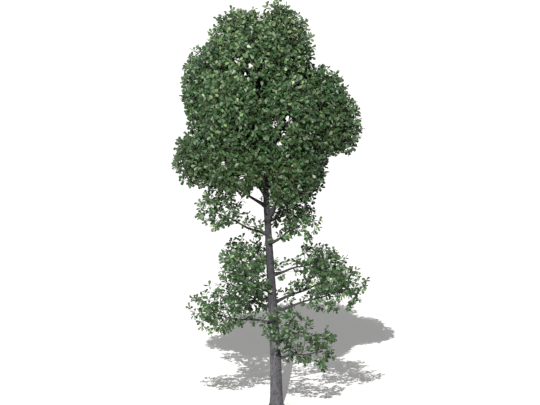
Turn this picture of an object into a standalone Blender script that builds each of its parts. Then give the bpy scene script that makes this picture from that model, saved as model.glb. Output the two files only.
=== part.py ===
# Swamp white oak, 15 m tall: a leaning trunk, its boughs and the masses of foliage that they carry.
# Metres, +Z up. The origin is the middle of the trunk's flat cut at ground level, +X is the
# photographed tree's right and -Y is the side that faces the viewer.

import math
import random

import bmesh
import bpy
import numpy as np
from mathutils import Matrix, Vector
from mathutils.geometry import interpolate_bezier

TREE = "swamp_white_oak"

# Trunk
TRUNK_TOP = 13.3
TRUNK_RADIUS = 0.225  # at the ground, without the root flare
TAPER_HEIGHT = 15.0  # where the straight taper would reach nothing
TRUNK_RINGS = 18
TRUNK_SIDES = 12
LEAN_START = 1.6
LEAN_EASE = 0.9
LEAN_SLOPE = 0.062  # to the left for each metre of height
SWAY = 0.05
SWAY_LENGTH = 1.9
FLARES = ((0.022, 0.55, 0.2), (0.055, 0.07, 0.45))  # width, height and how deep the lobes are
ROOT_LOBES = 5
LOBE_TURN = 0.6
RING_CROWDING = 1.7  # 1 would space the rings evenly, and more puts them nearer the foot

# Boughs
JOINT_GAP = 0.0003  # between solids that touch
CUTTER_GAP = 0.0004
BOUGH_RADIUS = 0.066
BOUGH_SHARE = 0.62  # of the trunk's radius, where that is less
BOUGH_TIP_RADIUS = 0.036
BOUGH_TAPER = 0.8  # under 1, most of the taper comes near the trunk
WIDEST_FOOT = 0.8  # of the trunk's radius
COLLAR = 0.45  # how much wider a bough is where it leaves the trunk
COLLAR_LENGTH = 0.16
BOUGH_LIFT = 0.42  # share of the climb that lies in the first half of the way
BOUGH_WANDER = 0.045
BOUGH_WAVES = (2.6, 2.2)  # half waves of that wander, sideways and up
BOUGH_PULL = 0.67  # how far the curve leans towards its knee
BOUGH_AIM = 0.22  # how far below its mass's heart it heads, as a share of the half height
BOUGH_POINTS = 60
BOUGH_STEPS = 4

# Twigs and leaves
STEM_RADIUS = 0.038
STEM_TIP_RADIUS = 0.014
STEM_START = 1.4  # how far below its heart a stem leaves the trunk, in half heights
STEM_RISE = 0.05
STEM_STRAIGHT = 0.07  # the stretch that goes straight on from its bough's tip
TWIG_TIP_RADIUS = 0.009
TWIG_FOOT = 1.3  # how much wider the foot of a twig that carries nothing more is
TWIG_SHORTEST = 0.12
TWIG_LIMIT = 0.022
PIPE_POWER = 0.42
TIP_WOBBLE = 0.2  # how far the ways to the twigs' tips turn from even ones
DETOUR_COST = 0.35  # weighs the way already grown against the way still to go
TWIG_CURVE = 0.35
TWIG_STRAIGHT = 0.7  # a twig shorter than this has no bend
LEAF_LENGTHS = (0.92, 0.84, 0.76, 0.68, 0.60, 0.52, 0.44)  # each leaf stands for a spray of real ones
LONG_LEAF = 0.76
LEAF_TRIES = 6  # ways that are tried until one gives room for a long leaf
LEAF_GAP = 0.30  # between the middles of two leaves
LEAF_WIDTH = 0.70  # of its length
LEAF_THICKNESS = 0.14  # of its length
TWIG_LEAVES = (0.75, 0.4)  # where along its last stretch a twig of an open mass has more leaves
TIP_SPREAD = 18  # degrees that the leaf at a twig's tip turns from its way
SIDE_SPREAD = 60
CORE_SPREADS = (35, 60)
LEAF_SINK = 0.10
CORE_SHARE = 0.79  # of the way from a dense mass's heart to the outside of the crown
CORE_FILL = 0.96  # of the way to the next mass's space
CROWDED = 0.15  # share of the way that a neighbour takes where a mass counts as crowded
CORE_LUMPS = 0.10
CORE_LEAF_SINK = 0.12
CORE_LEAF_LIMIT = 0.6  # how crowded a side may be and still have leaves
CORE_LEAF_FACING = 1.3  # above 1, they mostly show their flat sides
CORE_LEAF_CAST = 3  # from outside any mass
CORE_VIEW = math.cos(math.radians(42))  # a limb nearer than this to a core's corner holds it back
SPACE_POWER = 2.3  # 2 would make each space an ellipsoid, and more makes it boxier
SPACE_GAP = 0.035  # kept free between one mass's space and the next
LIMB_GAP = 0.03
CAST_STEP = 0.03
CAST_REACH = 2.2

# Each mass of foliage: its name, the height on the trunk where its bough starts, its azimuth from
# +X round to +Y, its reach from the trunk's middle, the height of its heart, and its half sizes
# along X, Y and Z. A mass with no foot grows straight from the trunk.
OPEN_MASSES = (
    ("low_right", 1.76, 338, 1.50, 2.22, 0.98, 0.98, 0.92),
    ("low_front", None, 298, 1.05, 3.05, 0.90, 0.80, 0.80),
    ("low_left", 3.06, 197, 1.98, 3.64, 1.28, 1.14, 1.07),
    ("low_back", 3.60, 118, 1.98, 4.04, 1.00, 1.10, 0.95),
    ("right_low", 3.50, 341, 2.40, 4.50, 1.36, 1.22, 0.92),
    ("right_back", 3.80, 38, 2.60, 4.66, 0.98, 1.10, 0.88),
    ("right_mid", 4.86, 12, 1.74, 5.42, 1.04, 1.05, 0.68),
    ("left_front", 4.20, 223, 1.40, 5.15, 0.96, 1.00, 1.00),
    ("left_back", 5.28, 133, 1.38, 5.34, 1.08, 1.02, 0.86),
    ("mid_right", 6.03, 334, 1.26, 6.93, 0.90, 0.92, 0.76),
    ("mid_left", 6.36, 200, 1.80, 7.42, 1.02, 1.04, 0.98),
    ("mid_back", 6.80, 62, 1.98, 7.33, 0.98, 1.05, 0.92),
)
DENSE_MASSES = (
    ("under_left", 7.40, 177, 1.92, 9.22, 1.60, 1.46, 1.15),
    ("under_left_front", 7.90, 244, 1.84, 9.22, 1.46, 1.44, 1.20),
    ("under_right_front", 6.80, 296, 1.66, 8.94, 1.44, 1.46, 1.34),
    ("under_right", 7.05, 4, 1.20, 8.84, 1.14, 1.30, 1.28),
    ("under_right_back", 8.00, 62, 2.02, 8.98, 1.42, 1.46, 1.28),
    ("under_left_back", 7.80, 113, 1.94, 8.93, 1.46, 1.46, 1.18),
    ("side_right_low", 8.80, 354, 2.26, 10.54, 1.54, 1.52, 1.38),
    ("side_right_high", 9.80, 12, 1.94, 11.30, 1.42, 1.50, 1.40),
    ("side_left", 9.30, 177, 1.50, 11.66, 1.45, 1.60, 2.08),
    ("side_left_front", 9.60, 241, 1.76, 11.24, 1.42, 1.50, 1.66),
    ("side_right_front", 9.10, 303, 1.74, 10.96, 1.46, 1.52, 1.62),
    ("side_right_back", 9.50, 61, 2.00, 10.92, 1.48, 1.50, 1.54),
    ("side_left_back", 9.05, 114, 1.92, 10.85, 1.50, 1.50, 1.56),
    ("top_left", 11.20, 180, 0.58, 13.30, 1.24, 1.34, 1.62),
    ("top_right", 11.40, 0, 0.86, 13.28, 1.26, 1.34, 1.56),
    ("top_front", None, 269, 0.98, 13.06, 1.30, 1.30, 1.42),
    ("top_back", None, 83, 1.02, 12.90, 1.30, 1.30, 1.48),
    ("leader", None, 9, 0.82, 14.27, 0.64, 0.68, 0.88),
)
OPEN_TWIGS = 6
OPEN_TIP_DEPTHS = (0.56, 0.70)  # of the way from the heart to the edge of the space
DENSE_TWIGS = 4
DENSE_TIP_DEPTHS = (0.82, 0.88)
CORE_LEAVES = 28  # less those on the crowded sides


def lean(height):
    """How far the trunk's middle has moved towards -X at this height."""

    def eased(rise):
        return (rise + math.hypot(rise, LEAN_EASE)) / 2

    return LEAN_SLOPE * (eased(height - LEAN_START) - eased(-LEAN_START))


def trunk_middle(height):
    return Vector((-lean(height), SWAY * math.sin(height / SWAY_LENGTH), height))


def trunk_radius(height):
    return TRUNK_RADIUS * (1 - height / TAPER_HEIGHT)


def heart_of(azimuth, reach, height):
    angle = math.radians(azimuth)
    return trunk_middle(height) + reach * Vector((math.cos(angle), math.sin(angle), 0))


class Mass:
    """One mass of foliage."""

    def __init__(self, row, dense):
        self.name, self.foot, azimuth, reach, height, *sizes = row
        self.heart = heart_of(azimuth, reach, height)
        self.sizes = Vector(sizes)
        self.dense = dense


MASSES = [Mass(row, False) for row in OPEN_MASSES] + [Mass(row, True) for row in DENSE_MASSES]
HEARTS = np.array([mass.heart for mass in MASSES])
SIZES = np.array([mass.sizes for mass in MASSES])


def depths(points):
    """For each point and each mass, 0 at the mass's heart and 1 on the round shape that bounds it."""
    shares = np.abs((np.array(points)[:, None, :] - HEARTS) / SIZES)
    return (shares**SPACE_POWER).sum(2) ** (1 / SPACE_POWER)


class Limbs:
    """The trunk and boughs as tapering segments, to measure how near a point comes to them."""

    def __init__(self):
        self.starts, self.ends, self.radii, self.owners = [], [], [], []

    def add(self, points, radii, owner=None):
        """Adds a limb. Its owner, if it has one, is the mass that it is a stem inside of."""
        for i in range(len(points) - 1):
            self.starts.append(points[i])
            self.ends.append(points[i + 1])
            self.radii.append(max(radii[i], radii[i + 1]))
            self.owners.append(owner)

    def seen_by(self, mass):
        """Starts, ends and radii of the limbs that this mass keeps clear of."""
        kept = [i for i, owner in enumerate(self.owners) if owner != mass.name]
        return [np.array(values)[kept] for values in (self.starts, self.ends, self.radii)]

    def clearances(self, mass, points):
        """The distance from each point to the nearest limb's surface."""
        starts, ends, radii = self.seen_by(mass)
        along = ends - starts
        spots = np.array(points)[:, None, :]
        share = ((spots - starts) * along).sum(2) / (along**2).sum(1)
        nearest = starts + np.clip(share, 0, 1)[:, :, None] * along
        return (np.linalg.norm(nearest - spots, axis=2) - radii).min(1)


def own_space(mass, points, limbs):
    """For each point, whether it is in the mass's space: nearest its heart of all, and clear of limbs."""
    found = depths(points)
    which = MASSES.index(mass)
    own = found[:, which].copy()
    found[:, which] = math.inf
    return (own < 1) & (found.min(1) - own > SPACE_GAP) & (limbs.clearances(mass, points) > LIMB_GAP)


def in_own_space(mass, points, limbs):
    return bool(own_space(mass, points, limbs).all())


# Tubes


def tube(name, points, radii, profile=None, resolution=1):
    """A tapering tube along the points, as one closed mesh. The profile is the outline that it carries."""
    curve = bpy.data.curves.new(name, "CURVE")
    curve.dimensions = "3D"
    curve.use_fill_caps = True
    if profile:
        curve.bevel_mode = "OBJECT"
        curve.bevel_object = profile
    else:
        curve.bevel_depth = 1
        curve.bevel_resolution = resolution
    spline = curve.splines.new("POLY")
    spline.points.add(len(points) - 1)
    for spot, place, radius in zip(spline.points, points, radii):
        spot.co = (*place, 1)
        spot.radius = radius
    guide = bpy.data.objects.new("guide", curve)
    bpy.context.scene.collection.objects.link(guide)
    made = as_mesh(guide, name)
    bpy.data.objects.remove(guide)
    bpy.data.curves.remove(curve)
    return made


def as_mesh(source, name):
    """A mesh object with the evaluated shape of another object, its caps welded on."""
    graph = bpy.context.evaluated_depsgraph_get()
    data = bpy.data.meshes.new_from_object(source.evaluated_get(graph))
    data.name = name
    shape = bmesh.new()
    shape.from_mesh(data)
    bmesh.ops.remove_doubles(shape, verts=shape.verts, dist=1e-6)
    bmesh.ops.recalc_face_normals(shape, faces=shape.faces)
    shape.to_mesh(data)
    shape.free()
    made = bpy.data.objects.new(name, data)
    made.matrix_world = source.matrix_world
    bpy.context.scene.collection.objects.link(made)
    return made


def triangle_profile():
    """The three-sided outline of a twig, as a guide that isn't part of the tree."""
    curve = bpy.data.curves.new("twig_outline", "CURVE")
    spline = curve.splines.new("POLY")
    spline.points.add(2)
    spline.use_cyclic_u = True
    for i, spot in enumerate(spline.points):
        angle = math.tau * i / 3
        spot.co = (math.cos(angle), math.sin(angle), 0, 1)
    guide = bpy.data.objects.new("twig_outline", curve)
    guide.hide_render = True
    guide.display_type = "WIRE"
    bpy.context.scene.collection.objects.link(guide)
    return guide


# Trunk


def trunk_stations():
    """Heights of the trunk's rings, close together in the root flare."""
    return [TRUNK_TOP * (i / TRUNK_RINGS) ** RING_CROWDING for i in range(TRUNK_RINGS + 1)]


def make_trunk(name, extra=0.0):
    heights = trunk_stations()
    radii = [trunk_radius(h) + extra for h in heights]
    sides = (TRUNK_SIDES - 4) // 2
    trunk = tube(name, [trunk_middle(h) for h in heights], radii, resolution=sides)
    for vertex in trunk.data.vertices:
        height = max(0.0, vertex.co.z)
        middle = trunk_middle(height)
        outward = Vector((vertex.co.x - middle.x, vertex.co.y - middle.y, 0))
        angle = math.atan2(outward.y, outward.x)
        for width, fall, lobes in FLARES:
            swell = 1 + lobes * math.cos(ROOT_LOBES * angle + LOBE_TURN)
            vertex.co += outward.normalized() * width * swell * math.exp(-height / fall)
        if height < trunk_stations()[1] / 2:
            vertex.co.z = -extra
    return trunk


# Boughs


def bough_curve(mass):
    """The way from the trunk's middle to the mass's heart, as a fine line of points."""
    start = trunk_middle(mass.foot)
    end = mass.heart - Vector((0, 0, BOUGH_AIM * mass.sizes[2]))
    knee = start.lerp(end, 0.5)
    knee.z = start.z + BOUGH_LIFT * (end.z - start.z)
    pulls = start.lerp(knee, BOUGH_PULL), end.lerp(knee, BOUGH_PULL)
    line = interpolate_bezier(start, *pulls, end, BOUGH_POINTS)
    side = (end - start).cross(Vector((0, 0, 1))).normalized()
    draw = random.Random("bough " + mass.name)
    turn, lift = draw.uniform(0, math.tau), draw.uniform(0, math.tau)
    for i, point in enumerate(line):
        share = i / (len(line) - 1)
        sway = BOUGH_WANDER * math.sin(math.pi * share)
        point += side * sway * math.sin(BOUGH_WAVES[0] * math.pi * share + turn)
        point.z += sway * math.sin(BOUGH_WAVES[1] * math.pi * share + lift)
    return line


def split_at_space(mass, line):
    """The stretch of the line outside the mass, and the stretch inside it."""
    entry = int(np.argmax(depths(line)[:, MASSES.index(mass)] < 1))
    return line[: entry + 1], line[entry:]


def thinned(line, steps):
    """The line with only this many even steps."""
    last = len(line) - 1
    return [line[round(last * i / steps)] for i in range(steps + 1)]


def bough_radii(mass, points):
    base = min(BOUGH_RADIUS, BOUGH_SHARE * trunk_radius(mass.foot))
    skin = trunk_radius(mass.foot)
    radii = []
    for i, point in enumerate(points):
        share = i / (len(points) - 1)
        from_bark = max(0.0, (point - points[0]).length - skin)
        collar = 1 + COLLAR * math.exp(-from_bark / COLLAR_LENGTH)
        radii.append((base + (BOUGH_TIP_RADIUS - base) * share**BOUGH_TAPER) * collar)
    return [min(radius, WIDEST_FOOT * skin) for radius in radii]


def bough_stations(mass):
    outside, inside = split_at_space(mass, bough_curve(mass))
    points = thinned(outside, BOUGH_STEPS)
    near = points[0].lerp(points[1], 0.5)
    points.insert(1, near)
    return points, inside


def cut_by(piece, cutter):
    """Takes the cutter's shape away from the piece, for good."""
    cut = piece.modifiers.new("foot", "BOOLEAN")
    cut.operation = "DIFFERENCE"
    cut.object = cutter
    cut.solver = "EXACT"
    bake(piece)


def bake(piece):
    """Puts the piece's modified shape into its own mesh."""
    graph = bpy.context.evaluated_depsgraph_get()
    data = bpy.data.meshes.new_from_object(piece.evaluated_get(graph))
    data.name = piece.name
    piece.modifiers.clear()
    old = piece.data
    piece.data = data
    bpy.data.meshes.remove(old)


# Twigs and leaves


class Skeleton:
    """Points that twigs have already reached, each with the way that it was grown by."""

    def __init__(self, stem):
        self.points, self.ways, self.headings = [], [], []
        way = 0.0
        for i in range(1, len(stem)):
            heading = (stem[min(i + 1, len(stem) - 1)] - stem[i - 1]).normalized()
            way += (stem[i] - stem[i - 1]).length
            if i > 1:
                self.add(stem[i], way, heading)

    def add(self, point, way, heading):
        self.points.append(point)
        self.ways.append(way)
        self.headings.append(heading)

    def nearest(self, target):
        gaps = np.linalg.norm(np.array(self.points) - np.array(target), axis=1)
        return int(np.argmin(gaps + DETOUR_COST * np.array(self.ways)))


def random_direction(draw):
    z = draw.uniform(-1, 1)
    angle = draw.uniform(0, math.tau)
    flat = math.sqrt(1 - z * z)
    return Vector((flat * math.cos(angle), flat * math.sin(angle), z))


def even_directions(count, turn):
    """Directions spread evenly over a sphere, by the golden angle."""
    for i in range(count):
        z = 1 - 2 * (i + 0.5) / count
        angle = math.pi * (3 - math.sqrt(5)) * i + turn
        yield Vector((math.sqrt(1 - z * z) * math.cos(angle), math.sqrt(1 - z * z) * math.sin(angle), z))


def space_reach(mass, way, limbs):
    """How far the mass's own space runs from its heart along this way."""
    steps = np.arange(CAST_STEP, CAST_REACH, CAST_STEP)
    inside = own_space(mass, np.array(mass.heart) + steps[:, None] * np.array(way), limbs)
    return float(steps[int(np.argmin(inside))])


def crowding(mass, way, limbs):
    """The way to the edge of the mass's space, and from 0 to 1 how much its neighbours press in there."""
    outside = 1 / depths([mass.heart + way])[0, MASSES.index(mass)]
    reach = space_reach(mass, way, limbs)
    return reach, min(1, max(0, 1 - reach / outside - CAST_STEP) / CROWDED)


def twig_tips(mass, count, limbs, draw, tip_depths):
    """Places for twig tips, even on all sides of the heart."""
    tips = []
    for way in even_directions(count, draw.uniform(0, math.tau)):
        way = (way + random_direction(draw) * TIP_WOBBLE).normalized()
        tips.append(mass.heart + way * space_reach(mass, way, limbs) * draw.uniform(*tip_depths))
    return tips


def grow_twigs(mass, stem, targets, limbs):
    """Joins each target to the point reached so far that costs least, the nearest target first."""
    skeleton = Skeleton(stem)
    twigs = []
    for target in sorted(targets, key=lambda t: (t - stem[0]).length):
        chosen = skeleton.nearest(target)
        start, heading = skeleton.points[chosen], skeleton.headings[chosen]
        gap = (target - start).length
        if gap < TWIG_SHORTEST:
            continue
        bend = start + heading * gap * TWIG_CURVE
        middle = start.lerp(bend, 0.5).lerp(bend.lerp(target, 0.5), 0.5)
        if gap < TWIG_STRAIGHT:
            middle = start.lerp(target, 0.5)
        path = [start.lerp(middle, 0.5), middle, middle.lerp(target, 0.5), target]
        if not in_own_space(mass, path, limbs):
            continue
        way = skeleton.ways[chosen]
        twigs.append([start, target] if gap < TWIG_STRAIGHT else [start, middle, target])
        skeleton.add(middle, way + gap / 2, (target - start).normalized())
        skeleton.add(target, way + gap, (target - middle).normalized())
    return twigs


def twig_radii(twigs):
    """Each twig's radius at its foot, wider where more twigs grow on from it."""
    carried = [1] * len(twigs)
    for i in reversed(range(len(twigs))):
        for j in range(i):
            if any((twigs[i][0] - p).length < 1e-6 for p in twigs[j][1:]):
                carried[j] += carried[i]
    return [min(TWIG_LIMIT, TWIG_TIP_RADIUS * TWIG_FOOT * n**PIPE_POWER) for n in carried]


def leaf_mesh():
    """A leaf along +Y: a flattened double pyramid, widest beyond its middle, with 8 faces."""
    shape = bmesh.new()
    bmesh.ops.create_uvsphere(shape, u_segments=4, v_segments=2, radius=1)
    half_width, half_depth = LEAF_WIDTH / 2, LEAF_THICKNESS / 2
    to_leaf = Matrix(((half_width, 0, 0, 0), (0, 0, 0.5, 0.5), (0, half_depth, 0, 0), (0, 0, 0, 1)))
    bmesh.ops.transform(shape, matrix=to_leaf, verts=shape.verts)
    for vertex in shape.verts:
        if 0.1 < vertex.co.y < 0.9:
            vertex.co.y += 0.1
    bmesh.ops.recalc_face_normals(shape, faces=shape.faces)
    data = bpy.data.meshes.new("leaf")
    shape.to_mesh(data)
    shape.free()
    return data


def leaf_matrix(root, way, up, length):
    """Places a leaf by its root, the way that it points and the side that it shows."""
    along = way.normalized()
    across = along.cross(up).normalized()
    facing = across.cross(along)
    turned = Matrix((across, along, facing)).transposed()
    return Matrix.Translation(root) @ (turned * length).to_4x4()


def leaf_spots():
    """Points all over a leaf 1 m long, which have to stay in its mass's space."""
    spots = []
    for i in range(13):
        y = i / 12
        half = LEAF_WIDTH / 2 * min(y / 0.6, (1 - y) / 0.4)
        spots += [Vector((half * x, y, 0)) for x in ((-1, -0.5, 0, 0.5, 1) if half > 0.1 else (-1, 0, 1))]
    return spots


LEAF_SPOTS = leaf_spots()
LEAF_MIDDLE = Vector((0, 0.55, 0))


def try_leaf(mass, placed, root, way, spread, facing, draw, limbs):
    """Adds to the placed leaves the longest one found that fits in the mass's space, if any. It turns
    from the way by the spread, and shows its flat side towards the facing."""
    best, best_length = None, 0.0
    for _ in range(LEAF_TRIES):
        side = way.cross(random_direction(draw)).normalized()
        aim = Matrix.Rotation(math.radians(spread), 3, side) @ way
        up = facing + random_direction(draw)
        for length in LEAF_LENGTHS:
            if length <= best_length:
                break
            matrix = leaf_matrix(root(aim.normalized()), aim, up, length)
            middle = matrix @ LEAF_MIDDLE
            if any((other @ LEAF_MIDDLE - middle).length < LEAF_GAP for other in placed):
                continue
            if in_own_space(mass, [matrix @ spot for spot in LEAF_SPOTS], limbs):
                best, best_length = matrix, length
        if best_length >= LONG_LEAF:
            break
    if best:
        placed.append(best)


def add_twig_leaves(mass, placed, twigs, draw, limbs):
    """A leaf at the tip of each twig and, in an open mass, two along it."""
    facing = Vector((0, 0, 0.4))
    for twig in twigs:
        below, tip = twig[-2:]
        way = (tip - below).normalized()
        outward = (tip - mass.heart).normalized()
        foot = tip - way * LEAF_SINK
        try_leaf(mass, placed, lambda _: foot, way + outward, TIP_SPREAD, facing, draw, limbs)
        for share in () if mass.dense else TWIG_LEAVES:
            foot = below.lerp(tip, share)
            try_leaf(mass, placed, lambda _: foot, way + outward * 0.5, SIDE_SPREAD, facing, draw, limbs)


def core_reach(mass, way, limbs):
    """How far out a core's corner is along this way, so that no face of it comes near a limb."""
    reach, crowded = crowding(mass, way, limbs)
    far = reach * (CORE_SHARE + (CORE_FILL - CORE_SHARE) * crowded)
    starts, ends, radii = limbs.seen_by(mass)
    for share in np.linspace(0, 1, 7):
        spots = starts + (ends - starts) * share - np.array(mass.heart)
        gaps = np.linalg.norm(spots, axis=1)
        lined = spots @ np.array(way) / gaps
        near = lined > CORE_VIEW
        if near.any():
            room = (gaps[near] - radii[near] - 2 * LIMB_GAP) / lined[near]
            far = min(far, float(room.min()))
    return far


def make_core(mass, limbs):
    """The smaller body inside a dense mass, as a lumpy ball that keeps to the mass's space."""
    draw = random.Random("core " + mass.name)
    shape = bmesh.new()
    bmesh.ops.create_icosphere(shape, subdivisions=2, radius=1)
    bmesh.ops.rotate(shape, verts=shape.verts, matrix=Matrix.Rotation(draw.uniform(0, math.tau), 3, "Z"))
    for vertex in shape.verts:
        way = vertex.co.normalized()
        lump = 1 - draw.uniform(0, CORE_LUMPS)
        vertex.co = mass.heart + way * core_reach(mass, way, limbs) * lump
    data = bpy.data.meshes.new("core")
    shape.to_mesh(data)
    shape.free()
    core = bpy.data.objects.new("core", data)
    bpy.context.scene.collection.objects.link(core)
    return core


def add_core_leaves(mass, placed, core, draw, limbs):
    """Leaves that stand out of the core, even on all its open sides."""
    for out in even_directions(CORE_LEAVES, draw.uniform(0, math.tau)):
        hit, place, _, _ = core.ray_cast(mass.heart + out * CORE_LEAF_CAST, -out)
        if not hit or crowding(mass, out, limbs)[1] > CORE_LEAF_LIMIT:
            continue
        spread, facing = draw.uniform(*CORE_SPREADS), out * CORE_LEAF_FACING
        try_leaf(mass, placed, lambda way: place - way * CORE_LEAF_SINK, out, spread, facing, draw, limbs)


def fuse(body, pieces):
    """Joins the pieces to the body with one union, and removes them."""
    group = bpy.data.collections.new("pieces")
    for piece in pieces:
        bpy.context.scene.collection.objects.unlink(piece)
        group.objects.link(piece)
    bpy.context.scene.collection.children.link(group)
    union = body.modifiers.new("fused", "BOOLEAN")
    union.operation = "UNION"
    union.operand_type = "COLLECTION"
    union.collection = group
    union.solver = "EXACT"
    bake(body)
    for piece in list(group.objects):
        bpy.data.objects.remove(piece)
    bpy.data.collections.remove(group)
    keep_largest_body(body.data)


def keep_largest_body(data):
    """Drops loose scraps and fills sealed hollows, so that one body is left."""
    shape = bmesh.new()
    shape.from_mesh(data)
    bmesh.ops.triangulate(shape, faces=shape.faces)
    left = set(shape.faces)
    bodies = []
    while left:
        found, queue = set(), [left.pop()]
        while queue:
            face = queue.pop()
            found.add(face)
            for edge in face.edges:
                for other in edge.link_faces:
                    if other in left:
                        left.remove(other)
                        queue.append(other)
        bodies.append(found)
    bodies.sort(key=len)
    for body in bodies[:-1]:
        bmesh.ops.delete(shape, geom=list(body), context="FACES")
    shape.to_mesh(data)
    shape.free()


def stem_of(mass):
    """The line that a mass's twigs start from, and the radius at its foot."""
    if mass.foot:
        points, inside = bough_stations(mass)
        way = (points[-1] - points[-2]).normalized()
        return [points[-1] + way * JOINT_GAP, points[-1] + way * STEM_STRAIGHT, *thinned(inside, 3)[1:]]
    if mass.name == "leader":
        below, tip = [trunk_middle(h) for h in trunk_stations()[-2:]]
        way = (tip - below).normalized()
        start, bend = tip + way * JOINT_GAP, tip + way * STEM_STRAIGHT
        return [start, bend, bend.lerp(mass.heart, 0.35), bend.lerp(mass.heart, 0.7), mass.heart]
    low = mass.heart.z - STEM_START * mass.sizes[2]
    start = trunk_middle(low)
    bend = start.lerp(mass.heart, 0.5) + Vector((0, 0, STEM_RISE))
    return [start, start.lerp(bend, 0.5), bend, mass.heart]


def stem_radii(stem):
    return np.linspace(STEM_RADIUS, STEM_TIP_RADIUS, len(stem))


def make_mass(mass, limbs, outline, leaf, cutter):
    draw = random.Random("leaves " + mass.name)
    stem = stem_of(mass)
    if mass.dense:
        core = make_core(mass, limbs)
        tips = twig_tips(mass, DENSE_TWIGS, limbs, draw, DENSE_TIP_DEPTHS)
    else:
        tips = twig_tips(mass, OPEN_TWIGS, limbs, draw, OPEN_TIP_DEPTHS)
    twigs = grow_twigs(mass, stem, tips, limbs)
    placed = []
    add_twig_leaves(mass, placed, twigs, draw, limbs)
    body = tube("leaves_" + mass.name, stem, stem_radii(stem), outline)
    if not mass.foot and mass.name != "leader":
        cut_by(body, cutter)
    pieces = []
    for twig, radius in zip(twigs, twig_radii(twigs)):
        radii = np.linspace(radius, TWIG_TIP_RADIUS, len(twig))
        pieces.append(tube("twig", twig, radii, outline))
    if mass.dense:
        add_core_leaves(mass, placed, core, draw, limbs)
        pieces.append(core)
    for matrix in placed:
        piece = bpy.data.objects.new("leaf", leaf)
        piece.matrix_world = matrix
        bpy.context.scene.collection.objects.link(piece)
        pieces.append(piece)
    fuse(body, pieces)
    return body, len(placed)


# Materials


def plain_material(name, colour, roughness):
    made = bpy.data.materials.new(name)
    made.use_nodes = True
    surface = made.node_tree.nodes["Principled BSDF"]
    surface.inputs["Base Color"].default_value = (*colour, 1)
    surface.inputs["Roughness"].default_value = roughness
    surface.inputs["Metallic"].default_value = 0
    made.diffuse_color = (*colour, 1)
    return made


def finish(piece, material, home):
    piece.data.materials.clear()
    piece.data.materials.append(material)
    bpy.context.scene.collection.objects.unlink(piece)
    home.objects.link(piece)


def main():
    for thing in list(bpy.data.objects):
        bpy.data.objects.remove(thing)
    home = bpy.data.collections.new(TREE)
    bpy.context.scene.collection.children.link(home)
    bark = plain_material("bark", (0.155, 0.145, 0.150), 0.9)
    foliage = plain_material("foliage", (0.055, 0.115, 0.045), 0.65)

    trunk = make_trunk("trunk")
    cutter = make_trunk("trunk_clearance", CUTTER_GAP)
    limbs = Limbs()
    heights = trunk_stations()
    limbs.add([trunk_middle(h) for h in heights], [trunk_radius(h) for h in heights])
    boughs = []
    for mass in MASSES:
        if mass.foot:
            points, _ = bough_stations(mass)
            radii = bough_radii(mass, points)
            limbs.add(points, radii)
            bough = tube("bough_" + mass.name, points, radii)
            cut_by(bough, cutter)
            boughs.append(bough)
        else:
            stem = stem_of(mass)
            limbs.add(stem, stem_radii(stem), mass.name)

    outline = triangle_profile()
    leaf = leaf_mesh()
    made = [make_mass(mass, limbs, outline, leaf, cutter) for mass in MASSES]
    for piece in [trunk, *boughs]:
        piece.data.set_sharp_from_angle(angle=math.radians(40))
        finish(piece, bark, home)
    for body, _ in made:
        finish(body, foliage, home)
    print("leaves", sum(count for _, count in made))
    for helper in (cutter, outline):
        bpy.data.objects.remove(helper)


main()
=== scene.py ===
# Swamp white oak, 15 m tall, dressed for rendering: bark with real relief on the trunk and boughs,
# and each mass of foliage grown on into fine twigs and sprays of lobed leaves.
# Metres, +Z up. The origin is the middle of the trunk's flat cut, and -Y is the viewer's side.

import math
import random

import bpy
import numpy as np
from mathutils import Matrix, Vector, noise
from mathutils.geometry import interpolate_bezier


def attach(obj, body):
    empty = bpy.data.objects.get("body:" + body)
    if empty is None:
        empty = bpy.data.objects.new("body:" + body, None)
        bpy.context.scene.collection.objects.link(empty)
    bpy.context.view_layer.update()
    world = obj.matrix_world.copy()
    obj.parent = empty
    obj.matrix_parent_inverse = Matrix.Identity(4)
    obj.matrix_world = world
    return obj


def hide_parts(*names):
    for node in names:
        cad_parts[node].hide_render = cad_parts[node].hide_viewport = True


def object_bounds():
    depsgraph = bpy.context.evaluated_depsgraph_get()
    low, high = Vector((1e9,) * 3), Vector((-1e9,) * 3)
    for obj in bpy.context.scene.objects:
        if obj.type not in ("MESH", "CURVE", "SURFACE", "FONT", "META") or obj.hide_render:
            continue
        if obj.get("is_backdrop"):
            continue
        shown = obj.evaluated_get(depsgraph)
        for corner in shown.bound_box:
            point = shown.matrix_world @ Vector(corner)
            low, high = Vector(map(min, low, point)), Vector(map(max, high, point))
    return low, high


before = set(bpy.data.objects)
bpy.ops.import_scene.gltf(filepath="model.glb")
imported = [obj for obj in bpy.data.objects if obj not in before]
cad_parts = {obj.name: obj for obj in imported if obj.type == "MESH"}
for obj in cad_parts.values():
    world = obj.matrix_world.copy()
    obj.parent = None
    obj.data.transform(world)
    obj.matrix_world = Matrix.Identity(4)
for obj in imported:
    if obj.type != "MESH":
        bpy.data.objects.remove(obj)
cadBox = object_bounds()

# The trunk's line, taper and root flare, the same as its solid has
trunk = {
    "top": 13.3,
    "radius": 0.225,  # at the ground, without the root flare
    "taperHeight": 15.0,  # where the straight taper would reach nothing
    "leanStart": 1.6,
    "leanEase": 0.9,
    "leanSlope": 0.062,  # to the left for each metre of height
    "sway": 0.05,
    "swayLength": 1.9,
    "flares": ((0.022, 0.55, 0.2), (0.055, 0.07, 0.45)),  # width, height, depth of the lobes
    "rootLobes": 5,
    "lobeTurn": 0.6,
    "solidRings": 18,
    "ringCrowding": 1.7,
    "sides": 104,
    "ringGap": 0.022,
    "barkCell": 0.026,  # width of a plate of bark
    "barkStretch": 3.4,  # how much taller than wide it is
    "furrowDepth": 0.010,
}

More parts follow.
